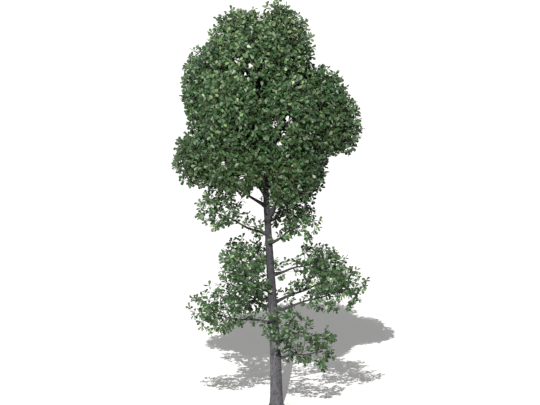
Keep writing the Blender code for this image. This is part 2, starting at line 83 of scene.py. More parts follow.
boughs = {
    "radius": 0.066,
    "share": 0.62,  # of the trunk's radius, where that is less
    "tipRadius": 0.036,
    "taper": 0.8,
    "widestFoot": 0.8,
    "collar": 0.45,  # how much wider a bough is where it leaves the trunk
    "collarLength": 0.16,
    "footDepth": 0.35,  # where its bark starts inside the trunk, as a share of the trunk's radius
    "lift": 0.42,  # share of the climb that lies in the first half of the way
    "wander": 0.045,
    "waves": (2.6, 2.2),
    "pull": 0.67,
    "aim": 0.22,  # below its mass's heart, as a share of the half height
    "points": 60,
    "steps": 4,  # of the solid
    "insideSteps": 3,  # and on inside the mass, to the heart
    "straight": 0.07,  # the stretch of a stem that goes straight on from its bough's tip
    "leadShare": 0.80,  # how far a stem runs on past the heart, as a share of the way to the far side
    "leadRise": 0.55,  # of its slope that it keeps there
    "leadTipRadius": 0.009,
    "leadPoints": 12,
    "stemRadius": 0.038,
    "stemTipRadius": 0.014,
    "stemStart": 1.4,  # how far below its heart a stem leaves the trunk, in half heights
    "stemRise": 0.05,
    "leaderPoints": (0.35, 0.7),  # where the leader's stem has points on its way up
    "sides": 14,
    "ringGap": 0.026,
    "barkCell": 0.022,
    "barkStretch": 2.6,
    "furrowDepth": 0.0045,
}

# What bounds the space that each mass's twigs and leaves keep to
space = {
    "power": 2.3,  # 2 makes each space an ellipsoid, and more a boxier shape
    "gap": 0.035,  # kept free between one mass's space and the next
    "limbGap": 0.03,
    "castStep": 0.03,
    "castReach": 2.2,  # the furthest that is looked for a space's edge from its heart
    "leadReach": 4.4,  # and from the end of a stem
}

# How twigs join on: the first few are the solid's own, and the finer ones follow the same rule
growth = {
    "seed": 1000,
    "twigs": {"open": (6, 0.56, 0.70), "dense": (4, 0.82, 0.88)},  # how many, and how deep they end
    "wobble": 0.2,  # of those twigs' even directions
    "branches": (0.40, 0.25),  # least distance between the ends of two, and least depth of one
    "shortest": 0.05,
    "detourCost": 0.35,  # weighs the way already grown against the way still to go
    "curve": 0.35,
    "step": 0.11,
    "kink": 0.05,
    "tipRadius": 0.0055,
    "pipePower": 0.44,
    "limit": 0.028,
}

sprays = {
    # least distance between two tips, and least depth of one, with 0 at the heart
    "room": {"open": (0.262, 0.15), "dense": (0.204, 0.40)},
    "blend": 6,  # the lower, the more the creases between two masses are filled
    "rim": 0.91,  # how far out the sprays reach where the lumps take nothing off
    "furthest": 0.93,  # and no single one stands further out
    "fray": 0.12,  # how far before the rim the sprays start to grow sparse
    # size of the outline's lumps, and how far it comes in between them
    "lumps": ((0.80, 0.15), (0.32, 0.14), (0.17, 0.10)),
    "clearings": 0.56,  # share of an open mass that is left to the sky
    "clearingSize": (0.44, 0.44, 0.26),  # flat, so that the leaves between them lie in layers
    "clearingStart": (7, 3, 1),  # of the noise that makes them
    "tries": 9,  # for each cube of the gap's size
    # Where the crown can be seen through or its outline turns in: middle along X and height at the
    # trunk, half width and half height. They run from front to back, and fall that way by the slope.
    "windows": (
        (-0.63, 11.80, 0.085, 0.50),
        (-0.39, 8.05, 0.20, 0.62),
        (0.47, 10.67, 0.19, 0.23),
        (0.25, 10.15, 0.16, 0.18),
        (0.10, 9.74, 0.145, 0.16),
        (-0.05, 10.50, 0.14, 0.20),
        (-1.12, 12.34, 0.12, 0.13),
        (-0.96, 12.64, 0.11, 0.14),
        (-1.45, 12.88, 0.12, 0.11),
        (0.80, 11.88, 0.105, 0.11),
        (-1.93, 9.03, 0.12, 0.12),
        (-1.25, 8.52, 0.15, 0.14),
        (-0.74, 7.86, 0.24, 0.30),
        (-2.20, 14.86, 0.42, 0.36),
        (-3.64, 10.85, 0.30, 0.50),
        (-4.02, 9.50, 0.28, 0.40),
    ),
    "windowSlope": 0.14,
    "windowRaggedness": 0.42,
    "windowWaves": (57, 27),  # radians a metre
    "trunkWindows": 2,  # so many of them only open the front of the crown, down to the trunk
    "bareBoughs": ("low_right", "low_left", "right_low", "right_back", "right_mid", "mid_right", "mid_left"),
    "bareReach": (0.70, 2.10),  # from the trunk's middle, where those masses are thin, to where they are full
    "bareShare": 0.09,
    "boughShown": 0.72,  # share of those boughs' ways that shows from the front
    "boughView": 0.07,  # no leaf passes this near in front of it
    "boughCover": 0.13,  # but for this share of them
    "boughStep": 0.03,
    "leaves": 6,
    "leafLengths": (0.16, 0.225),
    "leafAngles": (28, 82),  # from the twig's own way
    "turnSpread": 0.3,  # off the even turn from leaf to leaf round the twig
    "placeSpread": (0.2, 0.8),
    "angleSpread": 0.15,
    "tipStretch": 0.085,  # the length of twig that carries the leaves
    "droop": 0.22,
    "leastDroop": 0.3,  # share of it that every leaf has
    "towardsSky": 0.85,
    "outward": 0.40,
    "scatter": 0.72,
}

# Each mass of foliage: its name, the height on the trunk where its bough starts, its azimuth from
# +X round to +Y, its reach from the trunk's middle, the height of its heart, and its half sizes
# along X, Y and Z. A mass with no foot grows straight from the trunk.
openMasses = (
    ("low_right", 1.76, 338, 1.50, 2.22, 0.98, 0.98, 0.92),
    ("low_front", None, 298, 1.05, 3.05, 0.90, 0.80, 0.80),
    ("low_left", 3.06, 197, 1.98, 3.64, 1.28, 1.14, 1.07),
    ("low_back", 3.60, 118, 1.98, 4.04, 1.00, 1.10, 0.95),
    ("right_low", 3.50, 341, 2.40, 4.50, 1.36, 1.22, 0.92),
    ("right_back", 3.80, 38, 2.60, 4.66, 0.98, 1.10, 0.88),
    ("right_mid", 4.86, 12, 1.74, 5.42, 1.04, 1.05, 0.68),
    ("left_front", 4.20, 223, 1.40, 5.15, 0.96, 1.00, 1.00),
    ("left_back", 5.28, 133, 1.38, 5.34, 1.08, 1.02, 0.86),
    ("mid_right", 6.03, 334, 1.26, 6.93, 0.90, 0.92, 0.76),
    ("mid_left", 6.36, 200, 1.80, 7.42, 1.02, 1.04, 0.98),
    ("mid_back", 6.80, 62, 1.98, 7.33, 0.98, 1.05, 0.92),
)
denseMasses = (
    ("under_left", 7.40, 177, 1.92, 9.22, 1.60, 1.46, 1.15),
    ("under_left_front", 7.90, 244, 1.84, 9.22, 1.46, 1.44, 1.20),
    ("under_right_front", 6.80, 296, 1.66, 8.94, 1.44, 1.46, 1.34),
    ("under_right", 7.05, 4, 1.20, 8.84, 1.14, 1.30, 1.28),
    ("under_right_back", 8.00, 62, 2.02, 8.98, 1.42, 1.46, 1.28),
    ("under_left_back", 7.80, 113, 1.94, 8.93, 1.46, 1.46, 1.18),
    ("side_right_low", 8.80, 354, 2.26, 10.54, 1.54, 1.52, 1.38),
    ("side_right_high", 9.80, 12, 1.94, 11.30, 1.42, 1.50, 1.40),
    ("side_left", 9.30, 177, 1.50, 11.66, 1.45, 1.60, 2.08),
    ("side_left_front", 9.60, 241, 1.76, 11.24, 1.42, 1.50, 1.66),
    ("side_right_front", 9.10, 303, 1.74, 10.96, 1.46, 1.52, 1.62),
    ("side_right_back", 9.50, 61, 2.00, 10.92, 1.48, 1.50, 1.54),
    ("side_left_back", 9.05, 114, 1.92, 10.85, 1.50, 1.50, 1.56),
    ("top_left", 11.20, 180, 0.58, 13.30, 1.24, 1.34, 1.62),
    ("top_right", 11.40, 0, 0.86, 13.28, 1.26, 1.34, 1.56),
    ("top_front", None, 269, 0.98, 13.06, 1.30, 1.30, 1.42),
    ("top_back", None, 83, 1.02, 12.90, 1.30, 1.30, 1.48),
    ("leader", None, 9, 0.82, 14.27, 0.64, 0.68, 0.88),
)

# Half of a leaf's outline from its foot to its tip, as shares of its length: how far out, how far along
leafEdge = ((0.0, 0.0), (0.06, 0.20), (0.20, 0.42), (0.165, 0.50), (0.30, 0.71), (0.19, 0.91), (0.0, 1.0))
leafShape = {
    "midrib": 0.55,  # where along the midrib the faces meet
    "clearPoint": 0.7,  # the place along a leaf that has to be clear of wood and gaps
    "folds": (0.10, 0.30),  # how steeply the two halves rise
    "sag": 0.10,
}


# The trunk's line


def lean(height):
    def eased(rise):
        return (rise + math.hypot(rise, trunk["leanEase"])) / 2

    return trunk["leanSlope"] * (eased(height - trunk["leanStart"]) - eased(-trunk["leanStart"]))


def trunkMiddle(height):
    return Vector((-lean(height), trunk["sway"] * math.sin(height / trunk["swayLength"]), height))


def trunkRadius(height):
    return trunk["radius"] * (1 - height / trunk["taperHeight"])


def trunkStations():
    steps = trunk["solidRings"]
    return [trunk["top"] * (i / steps) ** trunk["ringCrowding"] for i in range(steps + 1)]


# Masses and their spaces


def readMass(index, row, kind):
    name, foot, azimuth, reach, height, *sizes = row
    angle = math.radians(azimuth)
    heart = trunkMiddle(height) + reach * Vector((math.cos(angle), math.sin(angle), 0))
    return {"name": name, "foot": foot, "heart": heart, "sizes": sizes, "kind": kind, "index": index}


masses = []
for kind, rows in (("open", openMasses), ("dense", denseMasses)):
    masses += [readMass(len(masses) + i, row, kind) for i, row in enumerate(rows)]
hearts = np.array([mass["heart"] for mass in masses])
halfSizes = np.array([mass["sizes"] for mass in masses])
limbs = []  # start, end, radius and the mass that the limb is a stem inside of


def depths(points):
    # for each point and each mass, 0 at the mass's heart and 1 on the round shape that bounds it
    shares = np.abs((np.asarray(points)[:, None, :] - hearts) / halfSizes)
    return (shares ** space["power"]).sum(2) ** (1 / space["power"])


def addLimb(points, radii, owner=None):
    for i in range(len(points) - 1):
        limbs.append((points[i], points[i + 1], max(radii[i], radii[i + 1]), owner))


def limbsSeenBy(mass):
    seen = [limb for limb in limbs if limb[3] != mass["name"]]
    return [np.array([limb[k] for limb in seen]) for k in range(3)]


def clearances(mass, points):
    # from each point to the nearest limb's surface
    starts, ends, radii = mass["seen"]
    along = ends - starts
    spots = np.asarray(points)[:, None, :]
    share = ((spots - starts) * along).sum(2) / (along**2).sum(1)
    nearest = starts + np.clip(share, 0, 1)[:, :, None] * along
    return (np.linalg.norm(nearest - spots, axis=2) - radii).min(1)


def inOwnSpace(mass, points):
    # for each point, whether it is nearest this mass's heart of all and clear of limbs
    found = depths(points)
    own = found[:, mass["index"]].copy()
    found[:, mass["index"]] = math.inf
    return (own < 1) & (found.min(1) - own > space["gap"]) & (clearances(mass, points) > space["limbGap"])


def spaceReach(mass, start, way, limit):
    # how far the mass's own space runs on from a point in it
    steps = np.arange(space["castStep"], limit, space["castStep"])
    inside = inOwnSpace(mass, np.array(start) + steps[:, None] * np.array(way))
    return float(steps[int(np.argmin(inside))])


# Lines of the boughs and of the stems inside the masses


def boughCurve(mass):
    # points all along a bough, and the number of the first that lies in its mass's space
    start = trunkMiddle(mass["foot"])
    end = mass["heart"] - Vector((0, 0, boughs["aim"] * mass["sizes"][2]))
    knee = start.lerp(end, 0.5)
    knee.z = start.z + boughs["lift"] * (end.z - start.z)
    pulls = start.lerp(knee, boughs["pull"]), end.lerp(knee, boughs["pull"])
    line = interpolate_bezier(start, *pulls, end, boughs["points"])
    side = (end - start).cross(Vector((0, 0, 1))).normalized()
    draw = random.Random("bough " + mass["name"])
    turn, lift = draw.uniform(0, math.tau), draw.uniform(0, math.tau)
    for i, point in enumerate(line):
        share = i / (len(line) - 1)
        sway = boughs["wander"] * math.sin(math.pi * share)
        point += side * sway * math.sin(boughs["waves"][0] * math.pi * share + turn)
        point.z += sway * math.sin(boughs["waves"][1] * math.pi * share + lift)
    return line, int(np.argmax(depths(line)[:, mass["index"]] < 1))


def thinned(line, steps):
    last = len(line) - 1
    return [line[round(last * i / steps)] for i in range(steps + 1)]


def boughRadius(mass, share, fromMiddle):
    skin = trunkRadius(mass["foot"])
    base = min(boughs["radius"], boughs["share"] * skin)
    fromBark = max(0.0, fromMiddle - skin)
    collar = 1 + boughs["collar"] * math.exp(-fromBark / boughs["collarLength"])
    radius = base + (boughs["tipRadius"] - base) * share ** boughs["taper"]
    return min(boughs["widestFoot"] * skin, radius * collar)


def boughStations(mass):
    # the solid's own few points along a bough, and the fine line inside its mass
    line, entry = boughCurve(mass)
    points = thinned(line[: entry + 1], boughs["steps"])
    points.insert(1, points[0].lerp(points[1], 0.5))
    return points, line[entry:]


def stemOf(mass):
    if mass["foot"]:
        points, inside = boughStations(mass)
        way = (points[-1] - points[-2]).normalized()
        rest = thinned(inside, boughs["insideSteps"])[1:]
        return [points[-1], points[-1] + way * boughs["straight"], *rest]
    if mass["name"] == "leader":
        below, tip = [trunkMiddle(h) for h in trunkStations()[-2:]]
        bend = tip + (tip - below).normalized() * boughs["straight"]
        return [tip, bend, *[bend.lerp(mass["heart"], s) for s in boughs["leaderPoints"]], mass["heart"]]
    start = trunkMiddle(mass["heart"].z - boughs["stemStart"] * mass["sizes"][2])
    bend = start.lerp(mass["heart"], 0.5) + Vector((0, 0, boughs["stemRise"]))
    return [start, start.lerp(bend, 0.5), bend, mass["heart"]]


def leadOf(mass, stem):
    # the stem carried on past the heart, ever flatter, to near the far side of the mass's space
    start = stem[-1]
    heading = (stem[-1] - stem[-2]).normalized()
    way = Vector((heading.x, heading.y, heading.z * boughs["leadRise"])).normalized()
    length = boughs["leadShare"] * spaceReach(mass, start, way, space["leadReach"])
    end = start + way * length
    flat = Vector((way.x, way.y, way.z * boughs["leadRise"])).normalized()
    pulls = start + heading * length / 3, end - flat * length / 3
    return interpolate_bezier(start, *pulls, end, boughs["leadPoints"])[1:]


# Bark

# The relief, in plates with furrows between them
furrows = {
    "seed": 1,
    "warp": 0.45,  # how far the plates stand out of line, in plates
    "warpScale": 0.6,
    "side": (0.03, 0.32),  # where a furrow's side starts from its middle, and how wide it is
    "rough": 0.12,
    "roughScale": 3.1,
    "skin": 0.7,  # the level between furrow and plate that lies where the solid's skin is
    "shallowFrom": 0.6,  # where a limb is thinner than this share of its widest, furrows grow shallower
}
noise.seed_set(furrows["seed"])  # or else the warp would differ from run to run


def unit(vectors):
    return vectors / np.linalg.norm(vectors, axis=-1)[..., None]


def ringFrames(line):
    # two directions across the line at each of its points, carried along it without twisting
    ways = unit(np.gradient(line, axis=0))
    first = np.cross(ways[0], (0.0, 0.0, 1.0) if abs(ways[0][2]) < 0.9 else (1.0, 0.0, 0.0))
    across = [first / np.linalg.norm(first)]
    for way in ways[1:]:
        turned = across[-1] - way * across[-1].dot(way)
        across.append(turned / np.linalg.norm(turned))
    return np.array(across), np.cross(ways, np.array(across))


def furrowsAt(place, cell, stretch):
    # 0 at the bottom of a furrow and 1 on a plate of bark
    spot = Vector((place[0] / cell, place[1] / cell, place[2] / (cell * stretch)))
    spot += furrows["warp"] * noise.noise_vector(spot * furrows["warpScale"])
    near, far = noise.voronoi(spot)[0][:2]
    start, width = furrows["side"]
    rough = furrows["rough"] * noise.noise(spot * furrows["roughScale"])
    return min(1.0, max(0.0, (far - near - start) / width)) + rough


def lengthsAlong(line):
    return np.concatenate([[0], np.cumsum(np.linalg.norm(np.diff(line, axis=0), axis=1))])


def barkTube(line, radii, frames, values, flare=None):
    # vertices, faces and furrow values of a tube that carries the relief of bark
    sides = values["sides"]
    angles = math.tau * np.arange(sides) / sides
    across, other = frames
    outward = np.cos(angles)[None, :, None] * across[:, None] + np.sin(angles)[None, :, None] * other[:, None]
    lengths = lengthsAlong(line)
    seed = float(line[0].sum())
    relief = np.empty((len(line), sides))
    for i, (length, radius) in enumerate(zip(lengths, radii)):
        for j, angle in enumerate(angles):
            place = (radius * math.cos(angle) + seed, radius * math.sin(angle), length)
            relief[i, j] = furrowsAt(place, values["barkCell"], values["barkStretch"])
    swell = np.zeros_like(relief) if flare is None else flare
    radii = np.asarray(radii)[:, None]
    depth = values["furrowDepth"] * np.minimum(1, radii / (furrows["shallowFrom"] * radii.max()))
    sizes = radii + swell + (relief - furrows["skin"]) * depth
    points = (line[:, None] + sizes[:, :, None] * outward).reshape(-1, 3)
    faces = []
    for i in range(len(line) - 1):
        for j in range(sides):
            k = (j + 1) % sides
            faces.append((i * sides + j, i * sides + k, (i + 1) * sides + k, (i + 1) * sides + j))
    faces.append(tuple(reversed(range(sides))))
    faces.append(tuple(range((len(line) - 1) * sides, len(line) * sides)))
    return points, faces, relief.reshape(-1)


def addObject(name, data):
    placed = bpy.data.objects.new(name, data)
    bpy.context.scene.collection.objects.link(placed)
    return placed


def barkPiece(name, tubes, material):
    # one mesh from many bark tubes, with the furrows kept as an attribute for the material
    points, faces, relief, first = [], [], [], 0
    for tubePoints, tubeFaces, tubeRelief in tubes:
        points.append(tubePoints)
        faces += [tuple(first + i for i in face) for face in tubeFaces]
        relief.append(tubeRelief)
        first += len(tubePoints)
    data = bpy.data.meshes.new(name)
    data.from_pydata(np.concatenate(points).tolist(), [], faces)
    data.attributes.new("furrows", "FLOAT", "POINT").data.foreach_set("value", np.concatenate(relief))
    data.shade_smooth()
    data.materials.append(material)
    return addObject(name, data)


def trunkTube():
    count = round(trunk["top"] / trunk["ringGap"])
    heights = np.linspace(0, trunk["top"], count + 1)
    line = np.array([trunkMiddle(h) for h in heights])
    radii = np.array([trunkRadius(h) for h in heights])
    angles = math.tau * np.arange(trunk["sides"]) / trunk["sides"]
    flare = np.zeros((len(heights), trunk["sides"]))
    for width, fall, lobes in trunk["flares"]:
        swell = 1 + lobes * np.cos(trunk["rootLobes"] * angles + trunk["lobeTurn"])
        flare += width * swell[None, :] * np.exp(-heights / fall)[:, None]
    level = np.tile((1.0, 0.0, 0.0), (len(heights), 1)), np.tile((0.0, 1.0, 0.0), (len(heights), 1))
    return barkTube(line, radii, level, trunk, flare)


def evenly(line, gap):
    # the line again, with points this far apart, and how far along it each one is
    line = np.array(line)
    lengths = lengthsAlong(line)
    wanted = np.linspace(0, lengths[-1], max(3, round(lengths[-1] / gap)))
    return np.stack([np.interp(wanted, lengths, line[:, k]) for k in range(3)], axis=1), wanted


def boughTube(mass):
    # a bough and the stem that goes on from it inside its mass, from within the trunk to its tip
    stem = stemOf(mass)
    lead = leadOf(mass, stem)
    if not mass["foot"]:
        points, _ = evenly([*stem, *lead], boughs["ringGap"])
        radii = np.linspace(boughs["stemRadius"], boughs["leadTipRadius"], len(points))
        return barkTube(points, radii, ringFrames(points), boughs)
    line, entry = boughCurve(mass)
    outside = sum((line[i + 1] - line[i]).length for i in range(entry))
    points, lengths = evenly([*line, *lead], boughs["ringGap"])
    radii = []
    for length in lengths:
        if length < outside:
            radii.append(boughRadius(mass, length / outside, length))
        else:
            share = (length - outside) / (lengths[-1] - outside)
            radii.append(boughs["tipRadius"] + (boughs["leadTipRadius"] - boughs["tipRadius"]) * share)
    start = int(np.argmax(lengths > boughs["footDepth"] * trunkRadius(mass["foot"])))
    points, radii = points[start:], radii[start:]
    return barkTube(points, radii, ringFrames(points), boughs)


# Twigs

evenTurn = math.pi * (3 - math.sqrt(5))  # from each twig or leaf to the next, so that none stand in rows


def direction(z, angle):
    flat = math.sqrt(1 - z * z)
    return Vector((flat * math.cos(angle), flat * math.sin(angle), z))


def solidTips(mass, draw):
    # the tips of the twigs that the solid has
    count, *tipDepths = growth["twigs"][mass["kind"]]
    tips = []
    turn = draw.uniform(0, math.tau)
    for i in range(count):
        even = direction(1 - 2 * (i + 0.5) / count, evenTurn * i + turn)
        wobble = direction(draw.uniform(-1, 1), draw.uniform(0, math.tau))
        way = (even + wobble * growth["wobble"]).normalized()
        reach = spaceReach(mass, mass["heart"], way, space["castReach"])
        tips.append(mass["heart"] + way * reach * draw.uniform(*tipDepths))
    return np.array(tips)


def inWindow(places):
    # for each point, whether it is in one of the gaps that the crown can be seen through
    level = places[:, 2] + sprays["windowSlope"] * places[:, 1]
    first, second = sprays["windowWaves"]
    ragged = np.sin(places[:, 0] * first + level * second) + np.sin(level * first - places[:, 0] * second)
    ragged = 1 + sprays["windowRaggedness"] * ragged
    found = np.zeros(len(places), bool)
    for number, (x, z, halfWidth, halfHeight) in enumerate(sprays["windows"]):
        near = ((places[:, 0] - x) / halfWidth) ** 2 + ((level - z) / halfHeight) ** 2 < ragged
        found |= near & ((number >= sprays["trunkWindows"]) | (places[:, 1] < 0))
    return found


shownBoughs = []  # points along the boughs that show, filled in once all limbs are known


def showBough(mass):
    line, _ = boughStations(mass)
    stem = stemOf(mass)
    line, _ = evenly([*line, *stem[1:], *leadOf(mass, stem)], sprays["boughStep"])
    shownBoughs.extend(line[: int(sprays["boughShown"] * len(line))])


def beforeBoughs(places):
    # for each point, whether it would hide one of those boughs
    lines = np.array(shownBoughs)
    rise = np.array((0, sprays["windowSlope"], 1))
    near = np.hypot(places[:, 0][:, None] - lines[:, 0], (places @ rise)[:, None] - lines @ rise)
    closest = near.argmin(1)
    return (near.min(1) < sprays["boughView"]) & (places[:, 1] < lines[closest, 1])


def scattered(mass, gap, hollow, dice):
    # places all through the mass's own space, no two nearer than the gap
    heart, sizes = np.array(mass["heart"]), np.array(mass["sizes"])
    volume = 8 * float(np.prod(sizes))
    tries = heart + dice.uniform(-1, 1, (int(sprays["tries"] * volume / gap**3), 3)) * sizes
    tries = tries[inOwnSpace(mass, tries) & ~inWindow(tries)]
    found = depths(tries)
    blended = (found ** -sprays["blend"]).sum(1) ** (-1 / sprays["blend"])
    kept = []
    for place, depth, near in zip(tries, found[:, mass["index"]], blended):
        rim = sprays["rim"]
        for size, fall in sprays["lumps"]:
            rim -= fall * (0.5 + 0.5 * noise.noise(Vector(place) / size))
        rim += dice.exponential(sprays["fray"]) - sprays["fray"]
        if depth < hollow or depth > sprays["furthest"] or near > rim:
            continue
        if mass["kind"] == "open":
            cloud = noise.noise(Vector(place / sprays["clearingSize"]) + Vector(sprays["clearingStart"]))
            if cloud < sprays["clearings"] - 0.5:
                continue
        if mass["name"] in sprays["bareBoughs"]:
            fromTrunk = float(np.linalg.norm(place[:2] - np.array(trunkMiddle(place[2]))[:2]))
            if dice.uniform() > np.interp(fromTrunk, sprays["bareReach"], (sprays["bareShare"], 1)):
                continue
        if kept and np.min(np.linalg.norm(np.array(kept) - place, axis=1)) < gap:
            continue
        kept.append(place)
    return np.array(kept)


def newSkeleton(stem):
    # the nodes that twigs have reached, each with its parent, the way grown to it and its heading
    points, _ = evenly(stem, growth["step"])
    skeleton = {"points": [], "ways": [], "headings": [], "parents": []}
    way = 0.0
    for i, point in enumerate(points):
        heading = points[min(i + 1, len(points) - 1)] - points[max(i - 1, 0)]
        way += float(np.linalg.norm(point - points[max(i - 1, 0)]))
        addNode(skeleton, point, way, heading, i - 1)
    return skeleton


def addNode(skeleton, point, way, heading, parent):
    skeleton["points"].append(point)
    skeleton["ways"].append(way)
    skeleton["headings"].append(heading / np.linalg.norm(heading))
    skeleton["parents"].append(parent)
    return len(skeleton["points"]) - 1


def growTwigs(skeleton, targets, allowed, dice, first=2):
    # joins each target to the node that costs least, the nearest target first
    twigs = []
    foot = skeleton["points"][0]
    for target in sorted(targets, key=lambda t: float(np.linalg.norm(t - foot))):
        gaps = np.linalg.norm(np.array(skeleton["points"][first:]) - target, axis=1)
        chosen = first + int(np.argmin(gaps + growth["detourCost"] * np.array(skeleton["ways"][first:])))
        start, heading = skeleton["points"][chosen], skeleton["headings"][chosen]
        gap = float(np.linalg.norm(target - start))
        if gap < growth["shortest"]:
            continue
        bend = start + heading * gap * growth["curve"]
        shares = np.linspace(0, 1, max(2, round(gap / growth["step"]) + 1))[1:, None]
        path = (1 - shares) ** 2 * start + 2 * shares * (1 - shares) * bend + shares**2 * target
        path[:-1] += dice.normal(0, growth["kink"] * growth["step"], (len(path) - 1, 3))
        if not allowed(path).all():
            continue
        nodes = [chosen]
        for point in path:
            before = skeleton["points"][nodes[-1]]
            way = skeleton["ways"][nodes[-1]] + float(np.linalg.norm(point - before))
            nodes.append(addNode(skeleton, point, way, point - before, nodes[-1]))
        twigs.append(nodes)
    return twigs


def twigRadii(skeleton, tips):
    # thicker where more sprays hang on, as pipes that join
    load = np.zeros(len(skeleton["points"]))
    load[tips] = 1
    for i in range(len(load) - 1, 0, -1):
        load[skeleton["parents"][i]] += load[i]
    return np.minimum(growth["limit"], growth["tipRadius"] * np.maximum(load, 1) ** growth["pipePower"])


def threeSided(lines, radii):
    # vertices and triangles of one three-sided tube for each line of equal count
    lines, radii = np.array(lines), np.array(radii)
    ways = unit(np.gradient(lines, axis=1))
    whole = lines[:, -1] - lines[:, 0]
    least = np.eye(3)[np.argmin(np.abs(whole), axis=1)]
    across = unit(np.cross(ways, least[:, None, :]))
    other = np.cross(ways, across)
    rings = []
    for corner in range(3):
        angle = math.tau * corner / 3
        rings.append(lines + radii[:, :, None] * (math.cos(angle) * across + math.sin(angle) * other))
    points = np.stack(rings, axis=2).reshape(-1, 3)
    count, length = lines.shape[:2]
    pattern = [(0, 2, 1), tuple(3 * (length - 1) + k for k in (0, 1, 2))]
    for i in range(length - 1):
        for k in range(3):
            a, b = 3 * i + k, 3 * i + (k + 1) % 3
            pattern += [(a, b, b + 3), (a, b + 3, a + 3)]
    offsets = 3 * length * np.arange(count)
    return points, (np.array(pattern)[None] + offsets[:, None, None]).reshape(-1, 3)


# Leaves


def leafModel(fold):
    # points and triangles of one leaf along +Y, folded on its midrib
    right = [Vector((x, y, fold * x - leafShape["sag"] * y * y)) for x, y in leafEdge]
    left = [Vector((-p.x, p.y, p.z)) for p in right[1:-1]]
    middle = Vector((0, leafShape["midrib"], -leafShape["sag"] * leafShape["midrib"] ** 2))
    points = [middle, *right, *left]
    last = len(right)  # the tip's number
    ring = list(range(1, last + 1)) + list(range(last + len(left), last, -1))
    faces = [(0, ring[i], ring[(i + 1) % len(ring)]) for i in range(len(ring))]
    return np.array(points), np.array(faces)


leafModels = [leafModel(fold) for fold in leafShape["folds"]]


def sprayLeaves(tips, ways, outward, dice):
    # root, along, across, facing and length of each leaf, for all sprays at once
    count = sprays["leaves"]
    shape = (len(tips), count)
    turn = dice.uniform(0, math.tau, (len(tips), 1)) + evenTurn * np.arange(count)
    turn = turn + dice.normal(0, sprays["turnSpread"], shape)
    # from the tip back along the twig
    share = (np.arange(count) + dice.uniform(*sprays["placeSpread"], shape)) / count
    low, high = np.radians(sprays["leafAngles"])
    spread = low + (high - low) * np.clip(share + dice.normal(0, sprays["angleSpread"], shape), 0, 1)
    side = unit(np.cross(ways, np.where(np.abs(ways[:, 2:3]) < 0.8, (0.0, 0.0, 1.0), (1.0, 0.0, 0.0))))
    other = np.cross(ways, side)
    around = np.cos(turn)[..., None] * side[:, None] + np.sin(turn)[..., None] * other[:, None]
    along = np.cos(spread)[..., None] * ways[:, None] + np.sin(spread)[..., None] * around
    along[..., 2] -= sprays["droop"] * dice.uniform(sprays["leastDroop"], 1, shape)
    along = unit(along)
    up = outward[:, None] * sprays["outward"] + dice.normal(0, sprays["scatter"], (*shape, 3))
    up[..., 2] += sprays["towardsSky"]
    across = unit(np.cross(along, up))
    facing = np.cross(across, along)
    root = tips[:, None] - ways[:, None] * (share * sprays["tipStretch"])[..., None]
    length = dice.uniform(*sprays["leafLengths"], shape)
    return [values.reshape(-1, *values.shape[2:]) for values in (root, along, across, facing, length)]


def leafArrays(leaves, dice):
    # all the leaves' points and triangles
    root, along, across, facing, length = leaves
    which = dice.integers(0, len(leafModels), len(root))
    points = np.array([model for model, _ in leafModels])[which]
    placed = (
        points[..., 0:1] * across[:, None]
        + points[..., 1:2] * along[:, None]
        + points[..., 2:3] * facing[:, None]
    )
    placed = root[:, None] + placed * length[:, None, None]
    faces = leafModels[0][1][None] + (points.shape[1] * np.arange(len(root)))[:, None, None]
    return placed.reshape(-1, 3), faces.reshape(-1, 3)


# Colours that the leaves are dealt, upper side and underside. Those deep inside are dealt a lighter olive, a
# painted glow that stands in for the light that reaches them through other leaves.
leafColours = {
    "leafInnerPaintedGlow": ((0.050, 0.084, 0.026), (0.062, 0.092, 0.034)),
    "leafDeep": ((0.022, 0.051, 0.013), (0.037, 0.064, 0.024)),
    "leafBlue": ((0.024, 0.060, 0.027), (0.046, 0.074, 0.042)),
    "leafMid": ((0.023, 0.064, 0.018), (0.045, 0.080, 0.036)),
    "leafFresh": ((0.044, 0.096, 0.034), (0.065, 0.108, 0.052)),
    "leafLight": ((0.110, 0.170, 0.066), (0.128, 0.170, 0.090)),
}
leafNumbers = {name: number for number, name in enumerate(leafColours)}
dealing = {
    "middle": 0.40,
    "height": 0.50,  # painted light: lighter from the crown's middle to its top by this much
    "heights": (8.8, 6.2),  # that middle, and the way from it to the top
    "lowest": -0.3,  # how far below the middle the painted shade goes on growing darker, as a share of that way
    "lowMasses": 0.36,  # lighter in the open masses
    # painted shade: darker round these places, each with X, height, half sizes and how much darker
    "paintedShades": ((1.75, 10.0, 1.1, 0.9, 0.40), (-1.3, 8.8, 2.2, 0.9, 0.34), (1.3, 2.2, 1.4, 1.2, 0.34)),
    "clouds": 0.12,
    "cloudSize": 0.9,
    "cloudStart": (2, 5, 8),
    "spread": (0.17, 0.20),  # of the sprays, and of the leaves of each
    "steps": (0.40, 0.74, 0.99),  # between deep, middle, fresh and light
    "blue": 0.34,  # share of the middle leaves that are bluer
    "paintedGlow": (0.80, 0.50),  # depths where the first and where all leaves of a dense mass are dealt the painted glow
}


